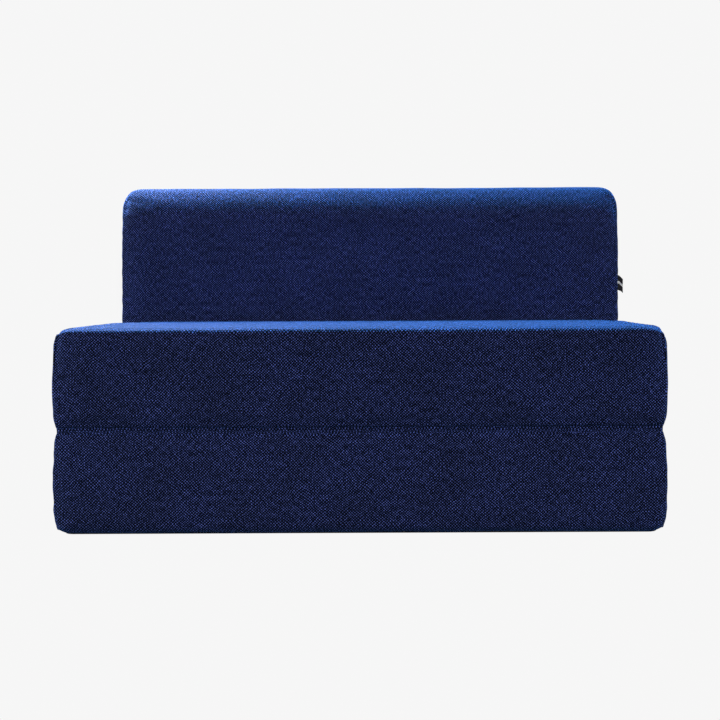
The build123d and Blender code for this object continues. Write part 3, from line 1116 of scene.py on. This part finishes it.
def side_label(material):
    """The folded label: two soft plies that hang down from the seam and meet in a round fold."""
    low, high = node_box("side_label")
    middle_y = (low.y + high.y) / 2
    root = low.x - LABEL_ROOT
    ply_gap, fold_gap = LABEL_FOLD
    xs = np.linspace(root, high.x - ply_gap, LABEL_COLUMNS)
    rings = []
    for share in np.linspace(0, 1, LABEL_ROWS):
        z = low.z + (high.z - low.z) * share
        curl = LABEL_CURL * math.sin(share * math.pi * 1.5)
        bend = [curl * (x - root) / LABEL_CURL_LENGTH for x in xs]
        ply = [(x, middle_y - LABEL_HALF_PLY + y, z) for x, y in zip(xs, bend)]
        fold = [(high.x - fold_gap, middle_y + curl, z)]
        back = [(x, middle_y + LABEL_HALF_PLY + y, z) for x, y in zip(xs, bend)][::-1]
        rings.append(ply + fold + back)
    piece = lofted("side_label_cloth", rings, material)
    add_weave_map(piece, lambda co: (co.x, co.z))
    for vertex in piece.data.vertices:
        share = (vertex.co.x - low.x) / (high.x - low.x)
        vertex.co.z -= LABEL_SAG * min(max(share, 0.0), 1.0)
    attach(piece, "back")
    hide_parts("side_label")


def underside(material):
    """The non-slip cloth under the base, thinner along its hemmed edge. Its black rim at the floor is
    also painted contact shadow, a thin dark line along the foot.
    """
    low, high = node_box("base_bottom_panel")
    rings = [rounded_ring(low, high, inset * MM, rise * MM) for inset, rise in UNDERSIDE_PROFILE]
    piece = lofted("underside_cloth", rings, material)
    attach(piece, "base")
    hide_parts("base_bottom_panel")


def rounded_ring(low, high, inset, height):
    """A level ring with round corners, this far inside the box and above its floor."""
    radius = UNDERSIDE_CORNER - inset / 2
    ring = []
    for sx, sy, turn in ((1, 1, 0), (-1, 1, 90), (-1, -1, 180), (1, -1, 270)):
        for step in np.linspace(0, 90, UNDERSIDE_ARC_STEPS):
            angle = math.radians(turn + step)
            x = sx * (high.x - inset - radius) + radius * math.cos(angle)
            y = sy * (high.y - inset - radius) + radius * math.sin(angle)
            ring.append((x, y, low.z + height))
    return ring


def finish_cad_nodes(metal, tape):
    """Gives the carried-over CAD nodes their materials."""
    liner = plain_cloth("liner", (0.6, 0.6, 0.58), (0.78, 0.78, 0.76), 1.2 * MM, 0.2 * MM)
    foam, wadding = foam_material(), wadding_material()
    by_part = {"liner_bag": liner, "wadding_wrap": wadding, "foam_core": foam, "zip_tape": tape,
               "zip_stops": metal, "zip_slider": metal, "zip_pull": metal}
    for section in SECTIONS:
        for part, material in by_part.items():
            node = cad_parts[f"{section.name}_{part}"]
            node.data.materials.clear()
            node.data.materials.append(material)
            if part in ("zip_slider", "zip_pull"):
                soften(node)


def soften(node):
    bevel = node.modifiers.new("Bevel", "BEVEL")
    bevel.width = METAL_BEVEL
    bevel.segments = 2
    bevel.limit_method = "ANGLE"


# ---------------- stage, light and camera


def pale_material(name):
    """A pale surface that glows evenly and takes nothing from the lights."""
    material = bpy.data.materials.new(name)
    material.use_nodes = True
    nodes, links = material.node_tree.nodes, material.node_tree.links
    nodes.clear()
    glow = nodes.new("ShaderNodeEmission")
    glow.inputs["Color"].default_value = (1, 1, 1, 1)
    glow.inputs["Strength"].default_value = BACKDROP
    output = nodes.new("ShaderNodeOutputMaterial")
    links.new(glow.outputs[0], output.inputs[0])
    return material


def build_stage():
    floor_place = (0, 0, FLOOR_HEIGHT)
    bpy.ops.mesh.primitive_circle_add(
        vertices=96, radius=FLOOR_RADIUS, fill_type="NGON", location=floor_place
    )
    floor = bpy.context.object
    floor.name = "floor"
    bpy.ops.mesh.primitive_uv_sphere_add(segments=48, ring_count=24, radius=SKY_RADIUS)
    sky = bpy.context.object
    sky.name = "backdrop"
    for piece in (floor, sky):
        piece.data.materials.append(pale_material(piece.name))
        piece.visible_diffuse = False
        piece.visible_glossy = False
        piece.visible_shadow = False


def add_light(name, place, target, size, power, colour):
    light = bpy.data.lights.new(name, "AREA")
    light.shape = "RECTANGLE"
    light.size, light.size_y = size
    light.energy = power
    light.color = colour
    lamp = add_object(name, light)
    lamp.visible_camera = False
    lamp.location = place
    direction = Vector(target) - Vector(place)
    lamp.rotation_euler = direction.to_track_quat("-Z", "Y").to_euler()


def build_lights():
    for light in LIGHTS:
        add_light(*light)
    world = bpy.data.worlds.new("studio")
    bpy.context.scene.world = world
    world.use_nodes = True
    world.node_tree.nodes["Background"].inputs["Color"].default_value = (1, 1, 1, 1)
    world.node_tree.nodes["Background"].inputs["Strength"].default_value = WORLD_STRENGTH


def build_camera():
    data = bpy.data.cameras.new("camera")
    data.lens = LENS
    data.sensor_width = SENSOR_WIDTH
    data.shift_x, data.shift_y = LENS_SHIFT
    data.clip_end = CLIP_END
    camera = add_object("camera", data)
    camera.location = CAMERA_PLACE
    camera.rotation_euler = (math.radians(90), math.radians(CAMERA_ROLL), 0)
    bpy.context.scene.camera = camera
    bpy.context.scene.view_settings.view_transform = "Standard"


def main():
    cloth = cover_cloth()
    tape = plain_cloth("zip_tape", (0.008, 0.012, 0.04), (0.03, 0.04, 0.11), 1.1 * MM, 0.2 * MM)
    thread = plain_cloth("thread", (0.01, 0.014, 0.05), (0.03, 0.045, 0.13), 0.6 * MM, 0.1 * MM)
    coil = coil_material()
    for section in SECTIONS:
        make_cover(section, cloth)
        zip_stitches(section, thread)
        zip_teeth(section, coil)
    front_hinge(cloth)
    rear_flap(cloth)
    side_label(label_material())
    underside(underside_and_contact_shadow_material())
    finish_cad_nodes(metal_material(), tape)
    build_stage()
    build_lights()
    build_camera()


main()
